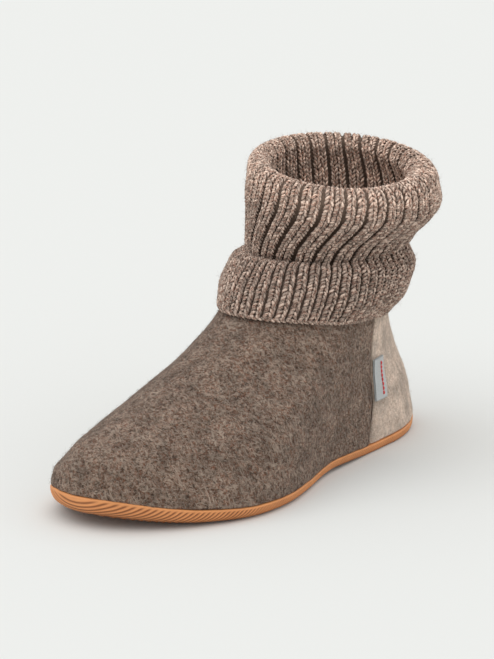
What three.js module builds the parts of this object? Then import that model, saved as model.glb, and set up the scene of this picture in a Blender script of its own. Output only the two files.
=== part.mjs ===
// Felt ankle slipper with a turned-down rib-knit cuff: the left shoe, standing empty on its sole.
// Millimetres. +X to the toe, +Y to the outer side of the foot, +Z up, floor at z = 0.
import * as THREE from "three";

// Last and felt
const LAST_LENGTH = 247; // feather line, from the back of the heel to the toe
const BALL_WIDTH = 97; // feather line, across the ball
const COLLAR_HEIGHT = 101; // top of the felt above the floor
const FELT = 3.6; // wall of the felt upper
const CLEARANCE = 0.3; // between pieces that touch

// Rubber sole
const SOLE_THICKNESS = 3.4; // under the foot
const SOLE_SIDE = 8; // height of the rubber side at the ball
const LIP = 2.2; // rubber outside the felt, at the top of the side
const HULL = 5; // how far the side curves in below
const TOE_SPRING = 6.5; // rise of the underside at the tip of the toe
const ARCH_RISE = 1.6; // rise of the underside at the waist
const BOW = 8; // length of the upturned end at the toe
const STERN = 5; // length of the upturned end at the heel
const SIDE_RIB_PITCH = 4.6;
const SIDE_RIB_DEPTH = 0.9;

// Footbed
const INSOLE = 3.5;
const INSOLE_BEVEL = 1.2;

// Heel counter, let into the outside of the felt
const COUNTER_DEPTH = 1.9;
const COUNTER_REACH = 72; // from the back of the heel to the side seam, at the sole

// Woven tab on the outer side seam
const TAB_WIDTH = 13;
const TAB_HEIGHT = 21;
const TAB_THICKNESS = 1.2;
const TAB_BASE = 26.5; // its lower end above the floor

// Knit cuff
const RIM_HEIGHT = 156.5; // highest point of the folded rim
const RIM_DROP_OUT = 13; // how much lower the rim lies on the outer side
const RIM_DROP_FRONT = 6; // how much lower the rim lies in front
const BAND_EDGE = 74; // lower free edge above the floor, at the back
const BAND_LIFT = 5; // how much higher the free edge lies in front
const BAND_SAG = 4.5; // how much lower it hangs on the outer side
const BAND_STAND = 4; // how far the lower band bulges away from the felt
const SAG_STAND = 2; // how much further it bulges where it sags
const KNIT = 2; // one layer of knitting, in a groove
const RIB_RISE = 2.2; // how far a broad rib stands out
const BAND_RIB_RISE = 1.5; // the same for the fine ribs of the lower band
const RIB_COUNT = 28; // broad ribs round the cuff, and half the fine ones
const FOLD_RELIEF = 0.4; // depth of the grooves over the rim, as a share of RIB_RISE
const EASE = 0.5; // between knitting and felt
const LAYER_GAP = 0.9; // between the two layers above the felt
const ROLL = 7; // how much further apart they are at the rim, on average
const ROLL_OUT = 0.5; // how much fatter the rim is on the outer side, as a share of ROLL
const TUCK = 15; // how far the inner layer reaches down inside the felt

// Level sections of the last, from the sole to the collar.
// up: share of the felt's height. back, front: shares of the last's length.
// heel, waist, ball, toe: half widths, as shares of half the ball width.
const LEVELS = [
  { up: 0.0, back: 0.0, front: 1.0, heel: 0.67, waist: 0.7, ball: 1.0, toe: 0.92 },
  { up: 0.12, back: -0.002, front: 1.005, heel: 0.69, waist: 0.75, ball: 1.03, toe: 0.92 },
  { up: 0.265, back: 0.004, front: 0.972, heel: 0.64, waist: 0.76, ball: 0.99, toe: 0.82 },
  { up: 0.41, back: 0.026, front: 0.857, heel: 0.55, waist: 0.74, ball: 0.87, toe: 0.7 },
  { up: 0.555, back: 0.048, front: 0.712, heel: 0.52, waist: 0.71, ball: 0.76, toe: 0.64 },
  { up: 0.72, back: 0.06, front: 0.585, heel: 0.53, waist: 0.7, ball: 0.71, toe: 0.63 },
  { up: 1.0, back: 0.05, front: 0.436, heel: 0.75, waist: 0.75, ball: 0.75, toe: 0.75 },
];
// Where those widths lie along a section, as shares of its length.
const STATIONS = { heel: 0.12, waist: 0.42, ball: 0.7, toe: 0.9 };
// Length of a section's rounded ends, as shares of its own length.
const ROUNDINGS = [
  { up: 0.0, back: 0.19, front: 0.265 },
  { up: 0.12, back: 0.19, front: 0.27 },
  { up: 0.265, back: 0.2, front: 0.31 },
  { up: 0.41, back: 0.24, front: 0.36 },
  { up: 0.555, back: 0.3, front: 0.4 },
  { up: 0.72, back: 0.38, front: 0.44 },
  { up: 1.0, back: 0.5, front: 0.5 },
];

// The sole along the foot. along: share of the last's length.
// swing: sideways curve of the foot's centre line, as a share of half the ball width.
// side, hull, rib: shares of SOLE_SIDE, HULL and SIDE_RIB_DEPTH.
// spring, arch: rise of the underside, as shares of TOE_SPRING and ARCH_RISE.
const SOLE = [
  { along: 0.0, swing: 0.0, side: 1.05, hull: 0.4, rib: 0.3, spring: 0, arch: 0 },
  { along: 0.1, swing: 0.0, side: 0.65, hull: 0.4, rib: 0.3, spring: 0, arch: 0 },
  { along: 0.26, swing: 0.02, side: 0.58, hull: 0.4, rib: 0.35, spring: 0, arch: 0 },
  { along: 0.42, swing: 0.06, side: 0.58, hull: 0.45, rib: 0.6, spring: 0, arch: 1 },
  { along: 0.56, swing: 0.05, side: 0.68, hull: 0.75, rib: 0.9, spring: 0, arch: 0 },
  { along: 0.74, swing: 0.02, side: 0.74, hull: 1.0, rib: 1.0, spring: 0, arch: 0 },
  { along: 0.87, swing: -0.05, side: 0.88, hull: 1.1, rib: 1.0, spring: 0.22, arch: 0 },
  { along: 1.0, swing: -0.17, side: 1.1, hull: 1.1, rib: 1.0, spring: 1.0, arch: 0 },
];

// Where the side seam runs. reach: share of COUNTER_REACH.
const SEAM = [
  { up: 0.0, reach: 1.0 },
  { up: 0.25, reach: 0.91 },
  { up: 0.6, reach: 0.895 },
  { up: 1.0, reach: 0.91 },
];

// The cuff's lower band, from its free edge to the collar. stand: share of BAND_STAND.
// layer: thickness of the knitting, which the cast-off draws together at the free edge.
const BAND = [
  { up: 0.0, stand: 0.04, layer: 0.55 },
  { up: 0.4, stand: 0.9, layer: 1.0 },
  { up: 0.78, stand: 0.86, layer: 1.0 },
  { up: 1.0, stand: 0.1, layer: 1.0 },
];

// The cuff above the collar, halfway between its two layers, from the collar to the fold.
// long, wide: half length and half width, as shares of the collar's.
// rear: shift to the back, as a share of the last's length.
// out: shift to the outer side, as a share of half the ball width.
// drop: share of the rim's drops. twist: how far the ribs have turned, as a share of the way round.
// roll: how far the layers have parted, as a share of their distance at the rim.
const TUBE = [
  { up: 0.0, long: 1.0, wide: 1.0, rear: 0.0, out: 0.0, drop: 0.0, twist: 0.0, roll: 0.0 },
  { up: 0.16, long: 1.03, wide: 1.03, rear: 0.004, out: 0.03, drop: 0.06, twist: 0.004, roll: 0.0 },
  { up: 0.45, long: 1.11, wide: 1.16, rear: 0.018, out: 0.09, drop: 0.36, twist: 0.014, roll: 0.12 },
  { up: 0.75, long: 1.14, wide: 1.25, rear: 0.026, out: 0.12, drop: 0.74, twist: 0.026, roll: 0.6 },
  { up: 1.0, long: 1.12, wide: 1.25, rear: 0.023, out: 0.12, drop: 1.0, twist: 0.032, roll: 1.0 },
];

const half = BALL_WIDTH / 2;
const FULL = 2 * Math.PI;
const mix = (a, b, s) => a + (b - a) * s;
const range = (n, f) => Array.from({ length: n }, (_, i) => f(i));

// Smooth curve through one column of a table, without overshoot.
function read(rows, by, key, at) {
  const last = rows.length - 1;
  if (at <= rows[0][by]) return rows[0][key];
  if (at >= rows[last][by]) return rows[last][key];
  let i = 0;
  while (at > rows[i + 1][by]) i++;
  const slope = (k) => (rows[k + 1][key] - rows[k][key]) / (rows[k + 1][by] - rows[k][by]);
  const shared = (a, b) => (a * b <= 0 ? 0 : (2 * a * b) / (a + b));
  const here = slope(i);
  const slopeIn = i > 0 ? shared(slope(i - 1), here) : here;
  const slopeOut = i + 1 < last ? shared(here, slope(i + 1)) : here;
  const step = rows[i + 1][by] - rows[i][by];
  const s = (at - rows[i][by]) / step;
  const rise = rows[i + 1][key] - rows[i][key];
  const ease = s * s * (3 - 2 * s);
  const fromIn = slopeIn * step * s * (1 - s) ** 2;
  const fromOut = slopeOut * step * s * s * (s - 1);
  return rows[i][key] + rise * ease + fromIn + fromOut;
}
const sole = (key, x) => read(SOLE, "along", key, x / LAST_LENGTH);
const swing = (x) => half * sole("swing", x);
const underside = (x) => TOE_SPRING * sole("spring", x) + ARCH_RISE * sole("arch", x);
const platform = (x) => underside(x) + SOLE_THICKNESS;
const sideTop = (x) => underside(x) + SOLE_SIDE * sole("side", x);

// A rounded end, from 0 at its tip to 1 where it joins the straight part.
const cap = (share) => Math.sqrt(1 - (1 - Math.min(Math.max(share, 0), 1)) ** 2);

function levelAt(up) {
  const level = {};
  for (const key of Object.keys(LEVELS[0])) level[key] = read(LEVELS, "up", key, up);
  return level;
}

// Half width of a level section at the share s of its length.
function halfWidth(level, s) {
  const rows = Object.entries(STATIONS).map(([name, at]) => ({ at, width: level[name] }));
  const back = cap(s / read(ROUNDINGS, "up", "back", level.up));
  const front = cap((1 - s) / read(ROUNDINGS, "up", "front", level.up));
  return half * read(rows, "at", "width", s) * back * front;
}

// Outer surface of the upper. turn goes once round, from the back of the heel by the outer side and the toe.
function form(turn, up) {
  const level = levelAt(up);
  const s = (1 - Math.cos(FULL * turn)) / 2;
  const x = LAST_LENGTH * mix(level.back, level.front, s);
  const side = turn <= 0.5 ? 1 : -1;
  const y = swing(x) + side * halfWidth(level, s);
  return new THREE.Vector3(x, y, mix(platform(x) + CLEARANCE, COLLAR_HEIGHT, up));
}

// The same surface moved out by a distance, or in by a negative one.
function shell(turn, up, out) {
  const d = 1e-3;
  const around = form((turn + d) % 1, up).sub(form((turn - d + 1) % 1, up));
  const rise = form(turn, Math.min(up + d, 1)).sub(form(turn, Math.max(up - d, 0)));
  const normal = rise.cross(around).normalize();
  return form(turn, up).addScaledVector(normal, out);
}

// Share of the felt's height that lies a given distance above the floor at x.
function upAt(x, z) {
  const base = platform(x) + CLEARANCE;
  return Math.min(Math.max((z - base) / (COLLAR_HEIGHT - base), 0), 1);
}

// A closed surface gathered from rows of points.
class Skin {
  constructor() {
    this.points = [];
    this.faces = [];
  }
  row(points) {
    const first = this.points.length;
    this.points.push(...points);
    return points.map((_, i) => first + i);
  }
  // Joins two rows with the same number of points.
  strip(a, b, closed = true) {
    const count = closed ? a.length : a.length - 1;
    for (let i = 0; i < count; i++) {
      const j = (i + 1) % a.length;
      this.faces.push([a[i], a[j], b[j]], [a[i], b[j], b[i]]);
    }
  }
  strips(rows, closed = true) {
    for (let i = 1; i < rows.length; i++) this.strip(rows[i - 1], rows[i], closed);
  }
  // A plate between two sheets of rows, split along the same diagonals.
  plate(outer, inner) {
    const sheet = this.faces.length;
    this.strips(inner, false);
    for (let i = sheet; i < this.faces.length; i++) this.faces[i].reverse();
    this.strips(outer, false);
    const last = outer.length - 1;
    const end = outer[0].length - 1;
    this.strip(inner[0], outer[0], false);
    this.strip(outer[last], inner[last], false);
    this.strip(outer.map((row) => row[0]), inner.map((row) => row[0]), false);
    this.strip(inner.map((row) => row[end]), outer.map((row) => row[end]), false);
  }
  // Joins two closed rows with different numbers of points. at(i): how far round point i lies, from 0 to 1.
  zip(a, b, atA = (i) => i / a.length, atB = (i) => i / b.length) {
    let i = 0;
    let j = 0;
    while (i < a.length || j < b.length) {
      const nextA = i + 1 < a.length ? atA(i + 1) : 1;
      const nextB = j + 1 < b.length ? atB(j + 1) : 1;
      if (j >= b.length || (i < a.length && nextA <= nextB)) {
        this.faces.push([a[i], a[(i + 1) % a.length], b[j % b.length]]);
        i++;
      } else {
        this.faces.push([a[i % a.length], b[(j + 1) % b.length], b[j]]);
        j++;
      }
    }
  }
  // Closes a row with strips from its first half to its second.
  cover(row, flip = false) {
    const n = row.length;
    for (let i = 0; i < n / 2; i++) {
      const [a, b, c, d] = [row[i], row[i + 1], row[n - i - 1], row[(n - i) % n]];
      if (i > 0) this.faces.push(flip ? [a, d, c] : [a, c, d]);
      if (i + 1 < n / 2) this.faces.push(flip ? [a, c, b] : [a, b, c]);
    }
  }
  geometry() {
    const p = this.points;
    let volume = 0;
    for (const [a, b, c] of this.faces) volume += p[a].dot(p[b].clone().cross(p[c]));
    const faces = volume < 0 ? this.faces.map(([a, b, c]) => [a, c, b]) : this.faces;
    const made = new THREE.BufferGeometry();
    made.setAttribute("position", new THREE.Float32BufferAttribute(p.flatMap((v) => v.toArray()), 3));
    made.setIndex(faces.flat());
    made.computeVertexNormals();
    return made;
  }
}

function seamTurn(up) {
  const level = levelAt(up);
  const reach = COUNTER_REACH * read(SEAM, "up", "reach", up) - LAST_LENGTH * level.back;
  const s = reach / (LAST_LENGTH * (level.front - level.back));
  return Math.acos(1 - 2 * s) / FULL;
}

const FELT_ROWS = [0, 0.03, 0.07, 0.12, 0.17, 0.22, 0.28, 0.34, 0.41, 0.49, 0.58, 0.68, 0.78, 0.89, 1];
// The lining has rows of its own where the knitting lies against it.
const tuckUp = 1 - TUCK / COLLAR_HEIGHT;
const TUCK_ROWS = range(3, (i) => mix(tuckUp, 1, i / 2));
const LINING_ROWS = [0, 0.07, 0.17, 0.3, 0.44, 0.58, 0.72].filter((up) => up < tuckUp).concat(TUCK_ROWS);
const COUNTER_COLUMNS = 14;
const FRONT_COLUMNS = 44;
const LINING_COLUMNS = 46;
const between = (from, to, columns) => range(columns + 1, (i) => (mix(from, to, i / columns) + 1) % 1);
const counterTurns = (seam) => between(-seam, seam, COUNTER_COLUMNS);
const frontTurns = (seam) => between(seam, 1 - seam, FRONT_COLUMNS);
const liningTurns = range(LINING_COLUMNS, (i) => i / LINING_COLUMNS);

function feltUpper() {
  const skin = new Skin();
  const middle = COUNTER_COLUMNS / 2;
  const join = (panel, front) => [...panel.slice(middle), ...front, ...panel.slice(0, middle)];
  const turns = (up) => join(counterTurns(seamTurn(up)), frontTurns(seamTurn(up)));
  const outer = FELT_ROWS.map((up) => {
    const panel = counterTurns(seamTurn(up)).map((turn) => shell(turn, up, -COUNTER_DEPTH));
    const front = frontTurns(seamTurn(up)).map((turn) => form(turn, up));
    return skin.row(join(panel, front));
  });
  const inner = LINING_ROWS.map((up) => skin.row(liningTurns.map((turn) => shell(turn, up, -FELT))));
  skin.strips(outer);
  skin.strips(inner.slice().reverse());
  skin.zip(outer[outer.length - 1], inner[inner.length - 1], (i) => turns(1)[i]);
  skin.zip(inner[0], outer[0], undefined, (i) => turns(0)[i]);
  return skin.geometry();
}

function heelCounter() {
  const skin = new Skin();
  const sheet = (out) =>
    FELT_ROWS.map((up) => {
      const seam = seamTurn(up);
      const perTurn = form(seam, up).distanceTo(form(seam - 0.01, up)) / 0.01;
      return skin.row(counterTurns(seam - CLEARANCE / perTurn).map((turn) => shell(turn, up, out)));
    });
  skin.plate(sheet(0), sheet(CLEARANCE - COUNTER_DEPTH));
  return skin.geometry();
}

// Plan outline of the rubber at the top of its side, on one side of the foot, as a list from heel to toe.
function soleOutline(side) {
  const STEPS = 240;
  return range(STEPS + 1, (i) => {
    const turn = side > 0 ? i / (2 * STEPS) : 1 - i / (2 * STEPS);
    const x = form(turn % 1, 0).x;
    return shell(turn % 1, upAt(x, sideTop(x)), CLEARANCE + LIP);
  });
}
function acrossAt(outline, x) {
  let i = 0;
  while (i < outline.length - 2 && outline[i + 1].x < x) i++;
  const [a, b] = [outline[i], outline[i + 1]];
  return mix(a.y, b.y, Math.min(Math.max((x - a.x) / (b.x - a.x), 0), 1));
}

function outsole() {
  const skin = new Skin();
  const outerSide = soleOutline(1);
  const innerSide = soleOutline(-1);
  const start = outerSide[0].x;
  const end = outerSide[outerSide.length - 1].x;
  // Ribs and grooves lie across the foot, half a pitch apart, with a thin section at each tip.
  const step = SIDE_RIB_PITCH / 2;
  const count = Math.floor((end - start) / step) - 1;
  const tip = (end - start - count * step) / 2;
  const TIP_INSET = 0.46;
  const ribStations = range(count + 1, (i) => start + tip + i * step);
  const stations = [start + TIP_INSET, ...ribStations, end - TIP_INSET];
  const TIP_SHARE = 0.12;
  const HULL_SHARE = 0.7;
  const sections = stations.map((x, i) => {
    const inEnd = i === 0 || i === stations.length - 1;
    const groove = i % 2 === 0 && !inEnd ? SIDE_RIB_DEPTH * sole("rib", x) : 0;
    const [left, right] = [acrossAt(outerSide, x), acrossAt(innerSide, x)];
    const middle = (left + right) / 2;
    const width = (left - right) / 2 - groove;
    const ending = Math.min((x - start) / STERN, (end - x) / BOW, 1);
    const upturn = cap(ending);
    const top = sideTop(x);
    const keel = top - (top - underside(x)) * Math.max(upturn, TIP_SHARE) + groove * (1 - upturn);
    const hull = Math.min(HULL * sole("hull", x), width * HULL_SHARE);
    const profile = [0, 30, 60, 90].map((degrees) => {
      const angle = THREE.MathUtils.degToRad(degrees);
      return [width - hull * (1 - Math.cos(angle)), top - (top - keel) * Math.sin(angle)];
    });
    const near = profile.map(([y, z]) => new THREE.Vector3(x, middle + y, z));
    const far = profile.map(([y, z]) => new THREE.Vector3(x, middle - y, z)).reverse();
    return skin.row([...near, new THREE.Vector3(x, middle, keel), ...far]);
  });
  skin.strips(sections, false);
  // Each end section is closed by a fan from its first point.
  const fan = (row) => range(row.length - 2, (i) => [row[0], row[i + 1], row[i + 2]]);
  skin.faces.push(...fan(sections[sections.length - 1]), ...fan(sections[0].slice().reverse()));
  const rim = [...sections.map((row) => row[0]), ...sections.map((row) => row[row.length - 1]).reverse()];
  const turnAt = (x) => Math.acos(1 - (2 * (x - start)) / (end - start)) / FULL;
  const rimTurns = [...stations.map(turnAt), ...stations.map((x) => 1 - turnAt(x)).reverse()];
  const WALL_COLUMNS = 88;
  const wallAt = (height) =>
    range(WALL_COLUMNS, (i) => {
      const x = form(i / WALL_COLUMNS, 0).x;
      const point = shell(i / WALL_COLUMNS, upAt(x, height(x)), CLEARANCE);
      return point.setZ(height(point.x));
    });
  const lipInside = skin.row(wallAt(sideTop));
  const wallFoot = skin.row(wallAt(platform));
  skin.zip(rim, lipInside, (i) => rimTurns[i]);
  skin.strip(lipInside, wallFoot);
  skin.cover(wallFoot);
  return skin.geometry();
}

function insole() {
  const skin = new Skin();
  const rowAt = (height, inset) =>
    skin.row(
      liningTurns.map((turn) => {
        const point = shell(turn, 0, -FELT - CLEARANCE - inset);
        return point.setZ(platform(point.x) + height);
      }),
    );
  const low = rowAt(CLEARANCE, 0);
  const edge = rowAt(CLEARANCE + INSOLE - INSOLE_BEVEL, 0);
  const high = rowAt(CLEARANCE + INSOLE, INSOLE_BEVEL);
  skin.strips([low, edge, high]);
  skin.cover(low, true);
  skin.cover(high);
  return skin.geometry();
}

// Spreads columns evenly round a closed curve. shares: where each column lies, from 0 to 1.
function spread(curve, shares) {
  const STEPS = 240;
  const sums = [0];
  for (let i = 1; i <= STEPS; i++) {
    const length = curve(i / STEPS).distanceTo(curve((i - 1) / STEPS));
    sums.push(sums[i - 1] + length);
  }
  let k = 0;
  return shares.map((share) => {
    const at = share * sums[STEPS];
    while (sums[k + 1] < at) k++;
    return (k + (at - sums[k]) / (sums[k + 1] - sums[k])) / STEPS;
  });
}

// Columns of the ribs: a narrow groove, then the rib's two shoulders and its middle.
const RIB_COLUMNS = [0, 0.22, 0.5, 0.78];
const ribShares = range(4 * RIB_COUNT, (i) => (Math.floor(i / 4) + RIB_COLUMNS[i % 4]) / RIB_COUNT);
const broad = (i) => (i % 4 === 0 ? 0 : RIB_RISE);
const fine = (i) => (i % 2) * BAND_RIB_RISE;
// Half as many columns where the knitting is out of sight.
const plainShares = range(2 * RIB_COUNT, (i) => i / (2 * RIB_COUNT));

const collar = levelAt(1);
const collarLong = (LAST_LENGTH * (collar.front - collar.back) - FELT) / 2;
const collarWide = half * collar.waist - FELT / 2;
const collarMiddle = (LAST_LENGTH * (collar.front + collar.back)) / 2;

// A point of the cuff above the collar. over: how far round the fold it lies, from 0 on the outer layer
// to 180 degrees on the inner one. out: distance from the gap between the layers.
const OUTER = 0;
const INNER = Math.PI;
function tube(share, up, over, out, lift = 0) {
  const row = {};
  for (const key of Object.keys(TUBE[0])) row[key] = read(TUBE, "up", key, up);
  const angle = FULL * (share - row.twist);
  const fullRoll = ROLL * (1 + ROLL_OUT * Math.sin(angle));
  const roll = (fullRoll * row.roll) / 2;
  const radius = LAYER_GAP / 2 + roll + out;
  const aside = radius * Math.cos(over) - roll;
  const x = collarMiddle - LAST_LENGTH * row.rear - (collarLong * row.long + aside) * Math.cos(angle);
  const y = swing(x) + half * row.out + (collarWide * row.wide + aside) * Math.sin(angle);
  const foldHeight = RIM_HEIGHT - (LAYER_GAP + fullRoll) / 2 - KNIT - RIB_RISE;
  const fall = RIM_DROP_OUT * (1 + Math.sin(angle)) + RIM_DROP_FRONT * (1 - Math.cos(angle));
  const z = mix(COLLAR_HEIGHT, foldHeight, up) - (row.drop * fall) / 2;
  return new THREE.Vector3(x, y, z + radius * Math.sin(over) + lift);
}
function tubeRow(shares, up, over, out, lift) {
  return spread((s) => tube(s, up, OUTER, 0), shares).map((s, i) => tube(s, up, over, out(i), lift));
}
// The same beside the felt, at a height that may change round the foot.
function feltRow(shares, height, out) {
  const middle = upAt(collarMiddle, height(0.25));
  return spread((turn) => form(turn % 1, middle), shares).map((turn, i) => {
    const up = upAt(form(turn, middle).x, height(turn));
    return shell(turn, up, out(i, turn));
  });
}
// The band sags most beside the outer seam, about a fifth of the way round.
const SAG_TURN = 0.2;
const sag = (turn) => ((1 + Math.cos(FULL * (turn - SAG_TURN))) / 2) ** 3;
const lift = (turn) => (1 - Math.cos(FULL * turn)) / 2;
const bandEdge = (turn) => BAND_EDGE + BAND_LIFT * lift(turn) - BAND_SAG * sag(turn);

function knitCuff() {
  const skin = new Skin();
  const bandRow = (shares, up, out) => {
    const stand = read(BAND, "up", "stand", up);
    const clear = (turn) => EASE + stand * (BAND_STAND + SAG_STAND * sag(turn));
    const height = (turn) => mix(bandEdge(turn), COLLAR_HEIGHT, up);
    return skin.row(feltRow(shares, height, (i, turn) => clear(turn) + out(i)));
  };
  const above = (shares, up, over, out, lift) => skin.row(tubeRow(shares, up, over, out, lift));
  const tuckRow = (up, out) => {
    const turns = spread((turn) => form(turn % 1, up), plainShares);
    return skin.row(turns.map((turn) => shell(turn, up, out)));
  };
  // Face of the knitting: from the free edge over the collar and the fold, and down on the inside.
  const face = [0, 0.35, 0.7, 0.95].map((up) => {
    const depth = read(BAND, "up", "layer", up);
    return bandRow(ribShares, up, (i) => depth * (KNIT + fine(i)));
  });
  const ribbed = (relief) => (i) => KNIT + mix(RIB_RISE, broad(i), relief);
  for (const up of [0.12, 0.35, 0.6, 0.85]) face.push(above(ribShares, up, OUTER, ribbed(1)));
  const overFold = [20, 55, 90, 125, 160].map(THREE.MathUtils.degToRad);
  for (const over of overFold) face.push(above(ribShares, 1, over, ribbed(FOLD_RELIEF)));
  for (const up of [0.85, 0.6]) face.push(above(ribShares, up, INNER, ribbed(1)));
  // The rest of the inside, then the back of the knitting: past the felt, up to the fold and down again.
  const back = [];
  for (const up of [0.4, 0.15]) back.push(above(plainShares, up, INNER, (i) => KNIT + (i % 2) * RIB_RISE));
  for (const up of TUCK_ROWS.slice().reverse()) back.push(tuckRow(up, -FELT - EASE - KNIT));
  for (const up of TUCK_ROWS) back.push(tuckRow(up, -FELT - EASE));
  const flat = () => 0;
  back.push(above(plainShares, 0, INNER, () => (FELT - LAYER_GAP) / 2 + EASE, EASE));
  const slot = [0.1, 0.35, 0.7, 0.95];
  for (const up of slot) back.push(above(plainShares, up, INNER, flat));
  for (const over of overFold.slice(1, -1).reverse()) back.push(above(plainShares, 1, over, flat));
  for (const up of slot.slice().reverse()) back.push(above(plainShares, up, OUTER, flat));
  for (const up of [1, 0.7, 0.35, 0]) back.push(bandRow(plainShares, up, () => 0));
  skin.strips(face);
  skin.strips(back);
  skin.zip(face[face.length - 1], back[0], (i) => ribShares[i]);
  skin.zip(back[back.length - 1], face[0], undefined, (i) => ribShares[i]);
  return skin.geometry();
}

function sideTab() {
  const skin = new Skin();
  const COLUMNS = 4;
  const sheet = (out) =>
    [0, 0.5, 1].map((share) => {
      const up = upAt(COUNTER_REACH, TAB_BASE + TAB_HEIGHT * share);
      const seam = seamTurn(up);
      const perTurn = form(seam, up).distanceTo(form(seam - 0.01, up)) / 0.01;
      const turns = range(COLUMNS, (i) => seam - ((1 - i / (COLUMNS - 1)) * TAB_WIDTH) / perTurn);
      return skin.row(turns.map((turn) => shell(turn, up, out)));
    });
  skin.plate(sheet(CLEARANCE + TAB_THICKNESS), sheet(CLEARANCE));
  return skin.geometry();
}

const finish = (color, roughness) => new THREE.MeshStandardMaterial({ color, roughness, metalness: 0 });
const rubber = finish(0xc9854f, 0.55);
const darkFelt = finish(0x6f6155, 0.95);
const lightFelt = finish(0xb5a597, 0.95);
const knitting = finish(0x8f7d70, 0.95);
const tape = finish(0x9c9b98, 0.7);

const slipper = new THREE.Group();
function add(name, geometry, material) {
  const mesh = new THREE.Mesh(geometry, material);
  mesh.name = name;
  slipper.add(mesh);
}
add("outsole", outsole(), rubber);
add("insole", insole(), lightFelt);
add("felt_upper", feltUpper(), darkFelt);
add("heel_counter", heelCounter(), lightFelt);
add("knit_cuff", knitCuff(), knitting);
add("side_tab", sideTab(), tape);

// The origin is on the floor, in the middle of the slipper's length and width.
const extent = new THREE.Box3().setFromObject(slipper);
const centre = extent.getCenter(new THREE.Vector3());
slipper.position.set(-centre.x, -centre.y, -extent.min.z);

export default slipper;
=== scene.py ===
import math

import bpy
import numpy as np
from mathutils import Matrix, Vector


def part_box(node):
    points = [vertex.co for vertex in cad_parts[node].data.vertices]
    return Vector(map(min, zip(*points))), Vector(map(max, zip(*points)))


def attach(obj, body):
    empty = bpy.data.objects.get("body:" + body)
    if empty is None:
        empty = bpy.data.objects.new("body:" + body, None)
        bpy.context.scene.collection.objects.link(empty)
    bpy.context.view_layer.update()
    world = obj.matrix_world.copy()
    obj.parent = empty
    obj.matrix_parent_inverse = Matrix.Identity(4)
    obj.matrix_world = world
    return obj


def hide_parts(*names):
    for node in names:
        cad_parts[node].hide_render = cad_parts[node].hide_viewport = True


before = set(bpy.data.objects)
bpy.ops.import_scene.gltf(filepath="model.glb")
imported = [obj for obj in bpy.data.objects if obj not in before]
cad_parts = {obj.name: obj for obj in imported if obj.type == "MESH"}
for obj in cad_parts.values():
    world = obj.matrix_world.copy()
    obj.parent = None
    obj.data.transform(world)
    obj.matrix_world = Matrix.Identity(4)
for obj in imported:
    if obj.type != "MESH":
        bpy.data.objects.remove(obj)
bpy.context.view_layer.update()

FULL = 2 * math.pi
MM = 0.001
rng = np.random.default_rng(seed=38)

# Last and felt, in metres
LAST_LENGTH = 0.247
BALL_WIDTH = 0.097
COLLAR_HEIGHT = 0.101
FELT = 0.0036
CLEARANCE = 0.0003
COUNTER_DEPTH = 0.0019
COUNTER_REACH = 0.072
SEAM_GAP = 0.0001
SEAM_SINK = 0.0005
SEAM_SPREAD = 0.0016
OVERHANG = 0.0021
OVERHANG_HEIGHT = 0.013
SWELL_HEIGHT = 0.0007
# Share of the felt's columns on each side that lie under the counter, and the width of the step beside it
PANEL_COLUMNS = 0.2
STEP_COLUMN = 0.0015

# Rubber sole
SOLE_THICKNESS = 0.0034
SOLE_SIDE = 0.008
LIP = 0.0022
LIP_ROUND = 0.0006
HULL = 0.005
TOE_SPRING = 0.0065
ARCH_RISE = 0.0016
SIDE_RIB_PITCH = 0.00225
SIDE_RIB_DEPTH = 0.0007
SIDE_RIB_LEAN = 0.8
TREAD_DEPTH = 0.0006

# Knit cuff
RIM_HEIGHT = 0.1565
RIM_DROP_OUT = 0.013
RIM_DROP_FRONT = 0.006
BAND_EDGE = 0.074
BAND_LIFT = 0.005
BAND_SAG = 0.0045
BAND_STAND = 0.004
SAG_STAND = 0.002
SAG_TURN = 0.2
BAND_TWIST = 0.022
PINCH = 0.001
KNIT = 0.002
RIB_RISE = 0.0022
FOLD_RISE = 0.0009
BAND_RIB_RISE = 0.0015
RIB_COUNT = 28
EASE = 0.0005
LAYER_GAP = 0.0009
ROLL = 0.007
ROLL_OUT = 0.5
TUCK = 0.015
# How far the painted groove shade and the rim's lighter stitches fade in and out beside the fold
GROOVE_FADE = 0.014
STITCH_ROW = 0.0019
YARN = 0.00062

# Tape tab on the side seam
TAB_WIDTH = 0.013
TAB_HEIGHT = 0.021
TAB_BASE = 0.0265
TAPE = 0.0004
TAB_FOLD = 0.0007
THREAD = 0.0004
THREAD_STITCH = 0.0017
THREAD_COUNT = 8
THREAD_PLACE = 0.58

# Camera: its place, its turn from the toe's side and its pitch, and the photograph's frame in pixels
CAMERA_PLACE = Vector((0.9065, 0.6495, 0.344))
CAMERA_TURN = math.radians(37.2)
CAMERA_PITCH = math.radians(7.5)
PHOTO_WIDTH, PHOTO_HEIGHT = 494, 659
PHOTO_FOCAL = 1300
SHOE_PIXEL = (277, 473)
ENLARGED = 1.8
KEY_PLACE = Vector((0.35, -0.1, 1.2))


def table(names, *rows):
    """A short table with named columns."""
    return dict(zip(names.split(), np.array(rows, float).T))


# Level sections of the last, as in the part's source
LEVELS = table(
    "up back front heel waist ball toe cap_back cap_front",
    (0.0, 0.0, 1.0, 0.67, 0.7, 1.0, 0.92, 0.19, 0.265),
    (0.12, -0.002, 1.005, 0.69, 0.75, 1.03, 0.92, 0.19, 0.27),
    (0.265, 0.004, 0.972, 0.64, 0.76, 0.99, 0.82, 0.2, 0.31),
    (0.41, 0.026, 0.857, 0.55, 0.74, 0.87, 0.7, 0.24, 0.36),
    (0.555, 0.048, 0.712, 0.52, 0.71, 0.76, 0.64, 0.3, 0.4),
    (0.72, 0.06, 0.585, 0.53, 0.7, 0.71, 0.63, 0.38, 0.44),
    (1.0, 0.05, 0.436, 0.75, 0.75, 0.75, 0.75, 0.5, 0.5),
)
STATIONS = {"heel": 0.12, "waist": 0.42, "ball": 0.7, "toe": 0.9}

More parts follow.
